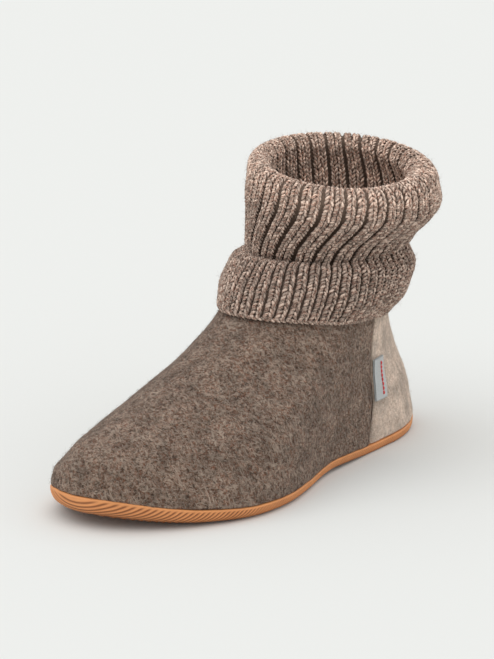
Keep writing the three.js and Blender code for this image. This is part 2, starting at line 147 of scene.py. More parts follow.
# The sole along the foot, in shares of its named sizes
SOLE = table(
    "along swing side hull rib spring arch",
    (0.0, 0.0, 1.05, 0.4, 0.3, 0, 0),
    (0.1, 0.0, 0.65, 0.4, 0.3, 0, 0),
    (0.26, 0.02, 0.58, 0.4, 0.35, 0, 0),
    (0.42, 0.06, 0.58, 0.45, 0.6, 0, 1),
    (0.56, 0.05, 0.68, 0.75, 0.9, 0, 0),
    (0.74, 0.02, 0.74, 1.0, 1.0, 0, 0),
    (0.87, -0.05, 0.88, 1.1, 1.0, 0.22, 0),
    (1.0, -0.17, 1.1, 1.1, 1.0, 1.0, 0),
)

SEAM = table("up reach", (0.0, 1.0), (0.25, 0.91), (0.6, 0.895), (1.0, 0.91))

# Soft troughs and ridges of the felt. turn, up: the middle of each. round, high: half its length
# each way, in metres. slant: how far it climbs along its length. depth: in, or out where negative.
CREASES = table(
    "turn up round high slant depth",
    (0.3, 0.13, 0.016, 0.0035, 0.1, 0.0013),
    (0.345, 0.2, 0.022, 0.005, -0.15, 0.001),
    (0.4, 0.15, 0.014, 0.004, 0.2, 0.0012),
    (0.44, 0.11, 0.012, 0.0032, -0.1, -0.0009),
    (0.26, 0.42, 0.02, 0.009, 0.5, 0.0012),
    (0.33, 0.58, 0.018, 0.008, 0.35, 0.0014),
    (0.5, 0.12, 0.02, 0.004, 0.0, 0.0009),
    (0.56, 0.17, 0.018, 0.005, 0.15, 0.0011),
    (0.66, 0.14, 0.02, 0.004, -0.1, 0.0012),
    (0.71, 0.5, 0.022, 0.009, -0.5, 0.0012),
    (0.22, 0.2, 0.009, 0.012, 0.3, 0.0009),
)

# The cuff's lower band and the tube above the collar
BAND = table(
    "up stand layer",
    (0.0, 0.04, 0.55),
    (0.4, 0.9, 1.0),
    (0.78, 0.86, 1.0),
    (1.0, 0.1, 1.0),
)
TUBE = table(
    "up long wide rear out drop twist roll",
    (0.0, 1.0, 1.0, 0.0, 0.0, 0.0, 0.0, 0.0),
    (0.16, 1.03, 1.03, 0.004, 0.03, 0.06, 0.004, 0.0),
    (0.45, 1.11, 1.16, 0.018, 0.09, 0.36, 0.014, 0.12),
    (0.75, 1.14, 1.25, 0.026, 0.12, 0.74, 0.026, 0.6),
    (1.0, 1.12, 1.25, 0.023, 0.12, 1.0, 0.032, 1.0),
)

HALF = BALL_WIDTH / 2


def curve(x, y, at):
    """Smooth curve through points without overshoot. y has one row for each x."""
    at = np.clip(np.atleast_1d(np.asarray(at, float)), x[0], x[-1])
    y = np.broadcast_to(np.asarray(y, float).reshape(len(x), -1), (len(x), at.size))
    slope = np.diff(y, axis=0) / np.diff(x)[:, None]
    product = slope[:-1] * slope[1:]
    total = np.where(product > 0, slope[:-1] + slope[1:], 1)
    tangent = np.concatenate([slope[:1], np.where(product > 0, 2 * product / total, 0), slope[-1:]])
    i = np.clip(np.searchsorted(x, at, side="right") - 1, 0, len(x) - 2)
    n = np.arange(at.size)
    step = x[i + 1] - x[i]
    s = (at - x[i]) / step
    rise = (y[i + 1, n] - y[i, n]) * s * s * (3 - 2 * s)
    return y[i, n] + rise + step * s * (1 - s) * (tangent[i, n] * (1 - s) - tangent[i + 1, n] * s)


def read(rows, by, key, at):
    return curve(rows[by], rows[key], at)


def sole(key, x):
    return read(SOLE, "along", key, x / LAST_LENGTH)


def swing(x):
    return HALF * sole("swing", x)


def underside(x):
    return TOE_SPRING * sole("spring", x) + ARCH_RISE * sole("arch", x)


def platform(x):
    return underside(x) + SOLE_THICKNESS


def side_top(x):
    return underside(x) + SOLE_SIDE * sole("side", x)


def cap(share):
    """A rounded end, from 0 at its tip to 1 where it joins the straight part."""
    return np.sqrt(1 - (1 - np.clip(share, 0, 1)) ** 2)


def form(turn, up):
    """Outer surface of the upper, from the back of the heel by the outer side and the toe."""
    turn, up = np.broadcast_arrays(np.atleast_1d(turn) % 1, np.atleast_1d(up))
    level = {key: read(LEVELS, "up", key, up) for key in LEVELS}
    s = (1 - np.cos(FULL * turn)) / 2
    x = LAST_LENGTH * (level["back"] + (level["front"] - level["back"]) * s)
    width = curve(np.array(list(STATIONS.values())), np.array([level[k] for k in STATIONS]), s)
    width = HALF * width * cap(s / level["cap_back"]) * cap((1 - s) / level["cap_front"])
    base = platform(x) + CLEARANCE
    side = np.where(turn <= 0.5, 1, -1)
    return np.stack([x, swing(x) + side * width, base + (COLLAR_HEIGHT - base) * up], axis=1)


def unit(v):
    return v / np.maximum(np.linalg.norm(v, axis=-1, keepdims=True), 1e-12)


def shell(turn, up, out):
    """The same surface moved out by a distance, or in by a negative one."""
    turn, up = np.broadcast_arrays(np.atleast_1d(turn), np.atleast_1d(up))
    d = 1e-3
    around = form(turn + d, up) - form(turn - d, up)
    rise = form(turn, np.minimum(up + d, 1)) - form(turn, np.maximum(up - d, 0))
    return form(turn, up) + unit(np.cross(rise, around)) * np.reshape(out, (-1, 1))


def up_at(x, z):
    base = platform(x) + CLEARANCE
    return np.clip((z - base) / (COLLAR_HEIGHT - base), 0, 1)


def seam_turn(up):
    """Where the side seam runs at each height."""
    back = read(LEVELS, "up", "back", up)
    front = read(LEVELS, "up", "front", up)
    reach = COUNTER_REACH * read(SEAM, "up", "reach", up) - LAST_LENGTH * back
    return np.arccos(1 - 2 * reach / (LAST_LENGTH * (front - back))) / FULL


def edge_line(side, out, height):
    """Plan line round one side of the foot at a height, from heel to toe."""
    turn = np.linspace(0, 0.5, 400) if side > 0 else 1 - np.linspace(0, 0.5, 400)
    x = form(turn, 0)[:, 0]
    return shell(turn, up_at(x, height(x)), out)


# The frame's origin is in the middle of the slipper, and this file's sizes start at the back of the heel
outer_edge = edge_line(1, CLEARANCE + LIP, side_top)
inner_edge = edge_line(-1, CLEARANCE + LIP, side_top)
sole_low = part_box("outsole")[0]
ORIGIN = np.array([sole_low.x - outer_edge[0, 0], sole_low.y - inner_edge[:, 1].min(), 0])


def deselect():
    if bpy.context.object and bpy.context.object.mode != "OBJECT":
        bpy.ops.object.mode_set(mode="OBJECT")
    bpy.ops.object.select_all(action="DESELECT")


def work_on(piece):
    deselect()
    piece.select_set(True)
    bpy.context.view_layer.objects.active = piece


def get_places(mesh):
    places = np.empty(len(mesh.vertices) * 3)
    mesh.vertices.foreach_get("co", places)
    return places.reshape(-1, 3)


def set_places(mesh, places):
    mesh.vertices.foreach_set("co", np.asarray(places, np.float32).ravel())
    mesh.update()


def triangles(mesh):
    """The places of a mesh's triangles, triangles x corners x 3."""
    mesh.calc_loop_triangles()
    corners = np.empty(len(mesh.loop_triangles) * 3, int)
    mesh.loop_triangles.foreach_get("vertices", corners)
    return get_places(mesh)[corners].reshape(-1, 3, 3)


def signed_volume(mesh):
    a, b, c = triangles(mesh).transpose(1, 0, 2)
    return np.einsum("ij,ij->i", a, np.cross(b, c)).sum()


def keep_values(mesh, name, values):
    """Stores one number at each corner point of a mesh, for its material to read."""
    mesh.attributes.new(name, "FLOAT", "POINT").data.foreach_set("value", np.asarray(values, np.float32))


def wrap(name, columns, rows, surface, groove=None):
    """A grid laid over a surface. surface takes the shares u and v and gives places from the heel."""
    deselect()
    bpy.ops.mesh.primitive_grid_add(x_subdivisions=columns, y_subdivisions=rows, size=1)
    piece = bpy.context.object
    piece.name = piece.data.name = name
    flat = get_places(piece.data)
    u, v = flat[:, 0] + 0.5, flat[:, 1] + 0.5
    set_places(piece.data, surface(u, v) + ORIGIN)
    # groove gives each point a share of painted shade, kept for the material to read
    if groove:
        keep_values(piece.data, "groove", groove(u, v))
    bpy.ops.object.mode_set(mode="EDIT")
    bpy.ops.mesh.select_all(action="SELECT")
    bpy.ops.mesh.remove_doubles(threshold=1e-6)
    bpy.ops.object.mode_set(mode="OBJECT")
    if signed_volume(piece.data) < 0:
        bpy.ops.object.mode_set(mode="EDIT")
        bpy.ops.mesh.flip_normals()
        bpy.ops.object.mode_set(mode="OBJECT")
    bpy.ops.object.shade_smooth()
    return piece


def lumps(piece, size, depth):
    """Small soft unevenness of a handmade surface."""
    cloud = bpy.data.textures.new(piece.name + "_lumps", "CLOUDS")
    cloud.noise_scale = size
    work_on(piece)
    push = piece.modifiers.new("lumps", "DISPLACE")
    push.texture = cloud
    push.texture_coords = "LOCAL"
    push.strength = depth
    push.mid_level = 0.5
    bpy.ops.object.modifier_apply(modifier="lumps")


def joined(name, places, faces, corner_uv=None, tone=None):
    """Many copies of one small shape as a single mesh. places: copies x points x 3."""
    copies, points = places.shape[:2]
    corners = np.concatenate([np.array(face) for face in faces])
    sizes = np.array([len(face) for face in faces])
    mesh = bpy.data.meshes.new(name)
    mesh.vertices.add(copies * points)
    mesh.loops.add(copies * len(corners))
    mesh.polygons.add(copies * len(faces))
    mesh.vertices.foreach_set("co", (places.reshape(-1, 3) + ORIGIN).astype(np.float32).ravel())
    vertex = corners[None] + points * np.arange(copies)[:, None]
    mesh.loops.foreach_set("vertex_index", vertex.ravel())
    starts = np.concatenate([[0], np.cumsum(sizes)[:-1]])
    starts = starts[None] + len(corners) * np.arange(copies)[:, None]
    mesh.polygons.foreach_set("loop_start", starts.ravel())
    mesh.update(calc_edges=True)
    mesh.polygons.foreach_set("use_smooth", np.ones(len(mesh.polygons), bool))
    if corner_uv is not None:
        layer = mesh.uv_layers.new(name="yarn_run")
        layer.data.foreach_set("uv", corner_uv.astype(np.float32).ravel())
    if tone is not None:
        keep_values(mesh, "tone", np.repeat(tone, points))
    piece = bpy.data.objects.new(name, mesh)
    bpy.context.scene.collection.objects.link(piece)
    return piece


SIDES = 4


def yarn(name, places, normals, across, out, tone):
    """Short lengths of yarn. places, normals: pieces x points x 3. across, out: half thicknesses."""
    pieces, points = places.shape[:2]
    run = unit(np.gradient(places, axis=1))
    side = unit(np.cross(run, normals))
    top = np.cross(side, run)
    angle = FULL * np.arange(SIDES) / SIDES
    ring = side[:, :, None] * (np.cos(angle) * across[..., None])[..., None]
    ring = ring + top[:, :, None] * (np.sin(angle) * out[..., None])[..., None]
    rings = (places[:, :, None] + ring).reshape(pieces, points * SIDES, 3)
    faces, uv = [], []
    for k in range(points - 1):
        for j in range(SIDES):
            after = (j + 1) % SIDES
            faces.append((k * SIDES + j, (k + 1) * SIDES + j, (k + 1) * SIDES + after, k * SIDES + after))
            uv += [(k, j), (k + 1, j), (k + 1, j + 1), (k, j + 1)]
    faces.append(tuple(range(SIDES)))
    uv += [(0, j) for j in range(SIDES)]
    last = (points - 1) * SIDES
    faces.append(tuple(last + j for j in reversed(range(SIDES))))
    uv += [(points - 1, j) for j in reversed(range(SIDES))]
    uv = np.array(uv, float) / (points - 1, SIDES)
    phase = rng.random((pieces, 1, 2)) * (8, 1)
    return joined(name, rings, faces, uv[None] + phase, tone)


# Wool fibres that stand out of felt or yarn: a base, a bend and a tip. Their thickness in metres, how
# far they curl aside, and the shares of their length before and after the bend
FIBRE = 0.00005
FIBRE_CURL = 0.6
FIBRE_FOOT = 0.45
FIBRE_END = 0.5
FIBRE_FACES = [(2, 1, 0), (0, 1, 4, 3), (1, 2, 5, 4), (2, 0, 3, 5), (3, 4, 6), (4, 5, 6), (5, 3, 6)]


def fuzz(name, source, count, length, stand, keep):
    """Fibres scattered over a finished piece. keep says which faces carry them; stand: how steeply."""
    corners = triangles(source.data) - ORIGIN
    cross = np.cross(corners[:, 1] - corners[:, 0], corners[:, 2] - corners[:, 0])
    share = np.linalg.norm(cross, axis=1) * keep(corners.mean(1), unit(cross))
    pick = rng.choice(len(share), count, p=share / share.sum())
    a, b = rng.random((2, count, 1))
    swap = a + b > 1
    a, b = np.where(swap, 1 - a, a), np.where(swap, 1 - b, b)
    corner = corners[pick]
    root = corner[:, 0] + a * (corner[:, 1] - corner[:, 0]) + b * (corner[:, 2] - corner[:, 0])
    normal = unit(cross[pick])
    along = unit(np.cross(normal, rng.normal(size=(count, 3))))
    bend = unit(along + FIBRE_CURL * np.cross(normal, along) * rng.normal(size=(count, 1)))
    size = length * (0.5 + rng.random((count, 1)))
    lift = stand * size * (0.3 + rng.random((count, 1)))
    middle = root + along * size * FIBRE_FOOT + normal * lift
    tip = middle + bend * size * FIBRE_END + normal * lift * rng.normal(0.1, 0.7, (count, 1))
    across = unit(np.cross(normal, along))
    ring = [along * 0, across, normal * 0.9 + across * 0.5]
    low = [root - normal * FIBRE * 2 + r * FIBRE for r in ring]
    high = [middle + r * FIBRE * 0.8 for r in ring]
    places = np.stack([*low, *high, tip], axis=1)
    return joined(name, places, FIBRE_FACES, tone=rng.random(count))


def dress(piece, material, slot, node=None):
    piece.data.materials.clear()
    piece.data.materials.append(material)
    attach(piece, "root")
    if node:
        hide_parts(node)


def node(tree, kind, inputs=None, **settings):
    """A shader node with its settings, and with its inputs linked or set."""
    made = tree.nodes.new("ShaderNode" + kind)
    for name, value in settings.items():
        setattr(made, name, value)
    for name, value in (inputs or {}).items():
        if isinstance(value, bpy.types.NodeSocket):
            tree.links.new(value, made.inputs[name])
        else:
            made.inputs[name].default_value = value
    return made


def maths(tree, operation, *values):
    """A number worked out from others, each a value or a socket."""
    return node(tree, "Math", dict(enumerate(values)), operation=operation).outputs[0]


def cloud(tree, place, scale, detail, **more):
    """Soft random unevenness."""
    inputs = {"Vector": place, "Scale": scale, "Detail": detail, **more}
    return node(tree, "TexNoise", inputs).outputs["Fac"]


def stretch(tree, value, low, high):
    """A value brought from between low and high to between 0 and 1."""
    return node(tree, "MapRange", {"Value": value, "From Min": low, "From Max": high}).outputs[0]


def group(name, inputs, outputs):
    """An empty node group. inputs: name -> default value; outputs: names of floats."""
    tree = bpy.data.node_groups.new(name, "ShaderNodeTree")
    for label, value in inputs.items():
        kind = "NodeSocketVector" if value is None else "NodeSocketFloat"
        socket = tree.interface.new_socket(label, in_out="INPUT", socket_type=kind)
        if value is not None:
            socket.default_value = value
    for label in outputs:
        tree.interface.new_socket(label, in_out="OUTPUT", socket_type="NodeSocketFloat")
    return tree, tree.nodes.new("NodeGroupInput"), tree.nodes.new("NodeGroupOutput")


# The directions in which the felt's fibres lie, and how little wool shines
FIBRE_TURNS = [(0.2, 0.3, 0.4), (1.1, 0.5, 1.4), (0.4, 1.3, 2.3), (1.9, 0.9, 0.1)]
WOOL_SHEEN = {"Sheen_Weight": 0.08, "Sheen_Roughness": 0.5, "Specular_IOR_Level": 0.1}


def wool_group():
    """Fibres that lie in several directions. Streaks: fine fibres; Mottle: how they clump."""
    inputs = {"Vector": None, "Length": 3.0, "Width": 0.4}
    tree, given, made = group("wool_fibres", inputs, ["Streaks", "Mottle", "Height"])
    place = given.outputs["Vector"]
    long = maths(tree, "DIVIDE", 1.0, given.outputs["Length"])
    slim = maths(tree, "DIVIDE", 1.0, given.outputs["Width"])
    scale = node(tree, "CombineXYZ", {"X": long, "Y": slim, "Z": slim})
    streaks = []
    for k, turn in enumerate(FIBRE_TURNS):
        spin = node(tree, "VectorRotate", {"Vector": place, "Rotation": turn}, rotation_type="EULER_XYZ")
        drawn = node(tree, "VectorMath", {0: spin.outputs[0], 1: scale.outputs[0]}, operation="MULTIPLY")
        moved = node(tree, "VectorMath", {0: drawn.outputs[0], 1: (17.0 * k, 5.0 * k, 0.0)}, operation="ADD")
        grain = cloud(tree, moved.outputs[0], 1.0, 1.5, Distortion=0.8)
        streaks.append(stretch(tree, grain, 0.52, 0.72))
    total = streaks[0]
    for streak in streaks[1:]:
        total = maths(tree, "MAXIMUM", total, streak)
    clump = cloud(tree, place, 0.42, 4.0, Roughness=0.65)
    tree.links.new(total, made.inputs["Streaks"])
    tree.links.new(stretch(tree, clump, 0.3, 0.7), made.inputs["Mottle"])
    tree.links.new(maths(tree, "MULTIPLY_ADD", total, 0.6, clump), made.inputs["Height"])
    return tree


WOOL = wool_group()


def blend_colour(tree, share, low, high, way="MIX"):
    """Mixes two colours, each a value or a socket."""
    mix = node(tree, "Mix", {"Factor": share}, data_type="RGBA", blend_type=way)
    for label, colour in (("A", low), ("B", high)):
        socket = next(s for s in mix.inputs if s.name == label and s.type == "RGBA")
        if isinstance(colour, bpy.types.NodeSocket):
            tree.links.new(colour, socket)
        else:
            socket.default_value = (*colour, 1)
    return next(s for s in mix.outputs if s.type == "RGBA")


def blank(name, roughness, **constants):
    """A material with its Principled shader, whose constants are set on its own sockets."""
    material = bpy.data.materials.new(name)
    material.use_nodes = True
    shader = material.node_tree.nodes["Principled BSDF"]
    shader.inputs["Roughness"].default_value = roughness
    for label, value in constants.items():
        shader.inputs[label.replace("_", " ")].default_value = value
    return material, material.node_tree, shader


def apply_finish(tree, shader, colour, height=None, strength=0.0, depth=0.0):
    """Gives a shader its colour, and its relief where there is a height."""
    tree.links.new(colour, shader.inputs["Base Color"])
    if height is not None:
        relief = node(tree, "Bump", {"Strength": strength, "Distance": depth, "Height": height})
        tree.links.new(relief.outputs[0], shader.inputs["Normal"])


def object_mm(tree):
    """Object coordinates in millimetres."""
    place = node(tree, "TexCoord").outputs["Object"]
    scaled = node(tree, "VectorMath", {0: place, 1: (1000, 1000, 1000)}, operation="MULTIPLY")
    return scaled.outputs[0]


def wool_at(tree, place, shift, length, width):
    moved = node(tree, "VectorMath", {0: place, 1: shift}, operation="ADD")
    wool = node(tree, "Group", node_tree=WOOL)
    wool.inputs["Length"].default_value = length
    wool.inputs["Width"].default_value = width
    tree.links.new(moved.outputs[0], wool.inputs["Vector"])
    return wool


def felt(name, ground, strokes, bump):
    """Boiled wool. ground: colours of the two clumps; strokes: colour, cover, fibre length and width."""
    material, tree, shader = blank(name, 0.95, **WOOL_SHEEN)
    place = object_mm(tree)
    base = wool_at(tree, place, (0, 0, 0), 2.6, 0.6)
    coloured = blend_colour(tree, base.outputs["Mottle"], *ground)
    height = base.outputs["Height"]
    for k, (colour, cover, length, width) in enumerate(strokes):
        wool = wool_at(tree, place, (40 * k + 9, 70 * k, 20), length, width)
        share = maths(tree, "MULTIPLY", wool.outputs["Streaks"], cover)
        coloured = blend_colour(tree, share, coloured, colour)
        height = maths(tree, "MULTIPLY_ADD", share, 0.4, height)
    patches = stretch(tree, cloud(tree, place, 0.085, 4.0, Roughness=0.6), 0.35, 0.65)
    dimmed = node(tree, "HueSaturation", {"Value": 0.72, "Color": coloured})
    lifted = node(tree, "HueSaturation", {"Value": 1.22, "Color": coloured})
    coloured = blend_colour(tree, patches, dimmed.outputs[0], lifted.outputs[0])
    apply_finish(tree, shader, coloured, height, strength=bump, depth=0.0006)
    return material


def fibre_hair(name, dark, light):
    """Loose fibres, each with its own tone."""
    material, tree, shader = blank(name, 0.8, Specular_IOR_Level=0.2)
    tone = node(tree, "Attribute", attribute_name="tone")
    apply_finish(tree, shader, blend_colour(tree, tone.outputs["Fac"], dark, light))
    return material


def marled_yarn():
    """Two light plies and two brown ones, twisted together."""
    material, tree, shader = blank("marled_yarn", 0.9, **WOOL_SHEEN)
    run = node(tree, "UVMap", uv_map="yarn_run")
    axes = node(tree, "SeparateXYZ", {0: run.outputs[0]})
    twist = maths(tree, "MULTIPLY_ADD", axes.outputs[0], 0.9, axes.outputs[1])
    fray = cloud(tree, object_mm(tree), 1.6, 3.0, Roughness=0.7)
    turn = maths(tree, "FRACT", maths(tree, "MULTIPLY_ADD", fray, 1.1, twist))
    plies = node(tree, "ValToRGB", {0: turn})
    ramp = plies.color_ramp
    stops = [
        (0.0, (0.68, 0.53, 0.44)),
        (0.38, (0.5, 0.37, 0.295)),
        (0.46, (0.11, 0.06, 0.042)),
        (0.56, (0.26, 0.108, 0.073)),
        (0.64, (0.56, 0.425, 0.345)),
        (0.88, (0.075, 0.046, 0.034)),
        (1.0, (0.68, 0.53, 0.44)),
    ]
    for position, colour in stops[1:-1]:
        ramp.elements.new(position).color = (*colour, 1)
    ramp.elements[0].color = (*stops[0][1], 1)
    ramp.elements[-1].color = (*stops[-1][1], 1)
    # tone: each stitch's random tone, with painted light on the rim and inside the cuff
    tone = node(tree, "Attribute", attribute_name="tone").outputs["Fac"]
    grey = node(tree, "CombineColor", {0: tone, 1: tone, 2: tone})
    toned = blend_colour(tree, 1.0, plies.outputs["Color"], grey.outputs[0], "MULTIPLY")
    apply_finish(tree, shader, toned, turn, strength=0.5, depth=0.0003)
    return material


def knit_ground_and_shade():
    """The knitting seen between its loops, with painted shade: darkest in the deep grooves above the band,
    lightest on the rim.
    """
    material, tree, shader = blank("knit_ground_and_shade", 0.95, Specular_IOR_Level=0.1)
    grain = cloud(tree, object_mm(tree), 0.9, 4.0)
    # shallow and deep: the knitting's colour without and with painted shade in the grooves
    shallow = blend_colour(tree, grain, (0.08, 0.05, 0.037), (0.34, 0.25, 0.195))
    deep = blend_colour(tree, grain, (0.02, 0.013, 0.01), (0.12, 0.078, 0.056))
    groove = node(tree, "Attribute", attribute_name="groove")
    shaded = blend_colour(tree, groove.outputs["Fac"], shallow, deep)
    apply_finish(tree, shader, shaded, grain, strength=0.8, depth=0.0006)
    return material


def natural_rubber():
    """Caramel rubber, with painted shade in its grooves and along its lower edge, and a little duller where
    dust sits.
    """
    material, tree, shader = blank("natural_rubber", 0.5, Specular_IOR_Level=0.4)
    place = object_mm(tree)
    speck = cloud(tree, place, 2.2, 3.0)
    share = maths(tree, "MULTIPLY_ADD", cloud(tree, place, 0.12, 4.0), 0.7, -0.05)
    fleck = maths(tree, "MULTIPLY_ADD", speck, 0.35, share)
    rubber = blend_colour(tree, fleck, (0.95, 0.415, 0.155), (0.58, 0.225, 0.078))
    # Painted shade: the groove value darkens the rubber in its grooves and along its lower edge
    groove = node(tree, "Attribute", attribute_name="groove").outputs["Fac"]
    shaded = blend_colour(tree, maths(tree, "MULTIPLY", groove, 0.85), rubber, (0.2, 0.066, 0.024))
    dull = node(tree, "MapRange", {"Value": speck, "To Min": 0.42, "To Max": 0.68})
    tree.links.new(dull.outputs[0], shader.inputs["Roughness"])
    apply_finish(tree, shader, shaded, speck, strength=0.25, depth=0.0002)
    return material


def woven_tape():
    """Grey ribbon with a fine weave."""
    material, tree, shader = blank("woven_tape", 0.6, Sheen_Weight=0.2, Specular_IOR_Level=0.3)
    place = object_mm(tree)
    weave = node(tree, "TexWave", {"Vector": place, "Scale": 1.1, "Distortion": 0.6}, bands_direction="Z")
    grey = blend_colour(tree, cloud(tree, place, 2.0, 3.0), (0.38, 0.4, 0.4), (0.68, 0.7, 0.7))
    apply_finish(tree, shader, grey, weave.outputs["Fac"], strength=0.5, depth=0.0002)
    return material


def red_thread():
    material, tree, shader = blank("red_thread", 0.7)
    grain = cloud(tree, object_mm(tree), 3.0, 2.0)
    apply_finish(tree, shader, blend_colour(tree, grain, (0.55, 0.02, 0.02), (0.85, 0.07, 0.06)))
    return material


def creased(turn, up):
    """How far the creases push the felt in."""
    turn, up = turn % 1, np.asarray(up)
    girth, tall = 2.6 * LAST_LENGTH, COLLAR_HEIGHT
    total = np.zeros(turn.shape)
    for k in range(len(CREASES["turn"])):
        crease = {key: CREASES[key][k] for key in CREASES}
        along = (turn - crease["turn"]) * girth
        rise = (up - crease["up"]) * tall - crease["slant"] * along
        total += crease["depth"] * np.exp(-((along / crease["round"]) ** 2) - (rise / crease["high"]) ** 2)
    return total


def overhang(x, z):
    """How far the felt swells out over the rubber's edge."""
    above = z - side_top(x)
    swell = np.clip(above / SWELL_HEIGHT, 0, 1)
    fade = 1 - np.clip(above / OVERHANG_HEIGHT, 0, 1)
    return OVERHANG * swell * fade * fade * (3 - 2 * fade)


# Rows of the felt, as shares of the way round its section, and the height share where the rows widen
RUBBER_ROWS, LOW_ROWS, SIDE_ROWS, TOP_ROWS, LINING_ROWS = 0.045, 0.3, 0.52, 0.56, 0.97
LOW_UP = 0.25


def row_height(v, turn):
    """Height share of each row, with one row along the rubber's edge."""
    x = form(turn, 0)[:, 0]
    edge = up_at(x, side_top(x))
    below = edge * v / RUBBER_ROWS
    low = edge + (LOW_UP - edge) * (v - RUBBER_ROWS) / (LOW_ROWS - RUBBER_ROWS)
    high = np.interp(v, [LOW_ROWS, SIDE_ROWS, TOP_ROWS, LINING_ROWS], [LOW_UP, 1, 1, 0])
    return np.where(v < RUBBER_ROWS, below, np.where(v < LOW_ROWS, low, high))


def felt_wall(u, v):
    """Section round the felt wall: up the outside, over the edge and down the inside, all the way round."""
    from_back = np.minimum(u, 1 - u)
    side = np.where(u <= 0.5, 1, -1)

    def turn_at(seam):
        front = seam + (0.5 - seam) * (from_back - PANEL_COLUMNS) / (0.5 - PANEL_COLUMNS)
        return side * np.where(from_back > PANEL_COLUMNS, front, seam * from_back / PANEL_COLUMNS)

    up = row_height(v, turn_at(seam_turn(0)))
    seam = seam_turn(up)
    turn = turn_at(seam)
    out = np.interp(v, [0, SIDE_ROWS, TOP_ROWS, LINING_ROWS, 1], [0, 0, -FELT, -FELT, 0])
    in_step = from_back < PANEL_COLUMNS + STEP_COLUMN
    out = np.where(in_step & (v < (SIDE_ROWS + TOP_ROWS) / 2), np.minimum(out, -COUNTER_DEPTH), out)
    near = (np.abs(turn) - seam) * 2 * LAST_LENGTH
    sink = SEAM_SINK * np.exp(-((near / SEAM_SPREAD) ** 2))
    flat = form(turn, up)
    shaped = overhang(flat[:, 0], flat[:, 2]) - creased(turn, up) - sink
    out = out + np.where(~in_step & (v < SIDE_ROWS), shaped, 0)
    return shell(turn, up, out)


def build_felt(material):
    piece = wrap("felt_boot", 400, 112, felt_wall)
    lumps(piece, 0.007, 0.0009)
    dress(piece, material, "dark_felt", "felt_upper")
    return piece


def counter_wall(u, v):
    """Section round the counter: up its face and down its back."""
    across = 2 * u - 1
    face = v < 0.5
    up = row_height(np.where(face, v, 1 - v) * 2 * SIDE_ROWS, across * seam_turn(0))
    seam = seam_turn(up) - SEAM_GAP / (2 * LAST_LENGTH)
    half_depth = COUNTER_DEPTH / 2
    out = np.interp(v, [0, 0.02, 0.48, 0.52, 0.98, 1], [-1, 0, 0, -1.7, -1.7, -1]) * half_depth
    near = (1 - np.abs(across)) * seam * 2 * LAST_LENGTH
    sink = SEAM_SINK * np.exp(-((near / SEAM_SPREAD) ** 2))
    flat = form(across * seam, up)
    out = np.where(face & (out > -half_depth), out - sink + overhang(flat[:, 0], flat[:, 2]), out)
    out = np.where(np.abs(across) > 0.9999, -half_depth, out)
    return shell(across * seam, up, out)


def build_counter(material):
    piece = wrap("heel_felt", 120, 110, counter_wall)
    lumps(piece, 0.006, 0.0006)
    dress(piece, material, "pale_felt", "heel_counter")
    return piece


# Where the section of the rubber turns, on its way from the middle of the footbed round the edge to
# the middle of the underside
SOLE_MARKS = [0, 0.06, 0.11, 0.15, 0.19]
KEEL_MARK = 0.78
# How much closer together the columns are along the sides than at the ends
SIDE_CLOSER = 0.3
# How far the middle line stays away from heel and toe
SPINE_END = 0.006


def sole_outline(u):
    """The rubber's outer edge, its inner wall and the direction outwards, level with its top."""
    turn = u + SIDE_CLOSER * np.sin(2 * FULL * u) / (2 * FULL)
    x = form(turn, 0)[:, 0]
    up = up_at(x, side_top(x))
    outer, wall = shell(turn, up, CLEARANCE + LIP), shell(turn, up, CLEARANCE)
    return outer, wall, unit((outer - wall) * (1, 1, 0))


def smooth_side(u, v):
    """The rubber's side and underside before their ribs."""
    outer, _, outward = sole_outline(u)
    x = outer[:, 0]
    edge = side_top(x) - LIP_ROUND
    angle = np.clip((v - SOLE_MARKS[-1]) / (KEEL_MARK - SOLE_MARKS[-1]), 0, 1) * math.pi / 2
    side = outer - outward * (HULL * sole("hull", x) * (1 - np.cos(angle)))[:, None]
    side[:, 2] = edge - (edge - underside(x)) * np.sin(angle)
    under = np.clip((v - KEEL_MARK) / (1 - KEEL_MARK), 0, 1)
    places = side * (1 - under[:, None]) + sole_spine(x) * under[:, None]
    places[:, 2] = np.where(under > 0, underside(places[:, 0]), side[:, 2])
    return places, outward, angle, under


def sole_spine(x):
    """The line along the middle of the foot where footbed and underside close."""
    x = np.clip(x, SPINE_END, LAST_LENGTH - SPINE_END)
    return np.stack([x, swing(x), underside(x)], axis=1)


def rib_groove(places, top):
    """How deep a place is in the groove between two ribs, from 0 to 1."""
    phase = (places[:, 0] + SIDE_RIB_LEAN * (places[:, 2] - top)) / SIDE_RIB_PITCH
    return (0.5 + 0.5 * np.cos(FULL * phase)) ** 1.5


def sole_section(u, v):
    outer, wall, outward = sole_outline(u)
    x = outer[:, 0]
    top = side_top(x)
    places, _, angle, under = smooth_side(u, v)
    groove = rib_groove(places, top)
    shallow = np.clip(angle * 6, 0, 1) * np.cos(angle) ** 0.5
    places = places - outward * (SIDE_RIB_DEPTH * (0.3 + 0.7 * sole("rib", x)) * groove * shallow)[:, None]
    places[:, 2] += TREAD_DEPTH * groove * np.where(under > 0, 1, np.sin(angle) ** 4)
    foot = wall.copy()
    foot[:, 2] = platform(foot[:, 0])
    bed = sole_spine(x) + (0, 0, SOLE_THICKNESS)
    wall[:, 2] = top
    lip = outer - outward * LIP_ROUND
    lip[:, 2] = top
    outer[:, 2] = top - LIP_ROUND
    keys = [bed, foot, wall, lip, outer]
    for k in range(len(keys) - 1):
        here = (v >= SOLE_MARKS[k]) & (v < SOLE_MARKS[k + 1])
        share = ((v - SOLE_MARKS[k]) / (SOLE_MARKS[k + 1] - SOLE_MARKS[k]))[:, None]
        places = np.where(here[:, None], keys[k] * (1 - share) + keys[k + 1] * share, places)
    return places


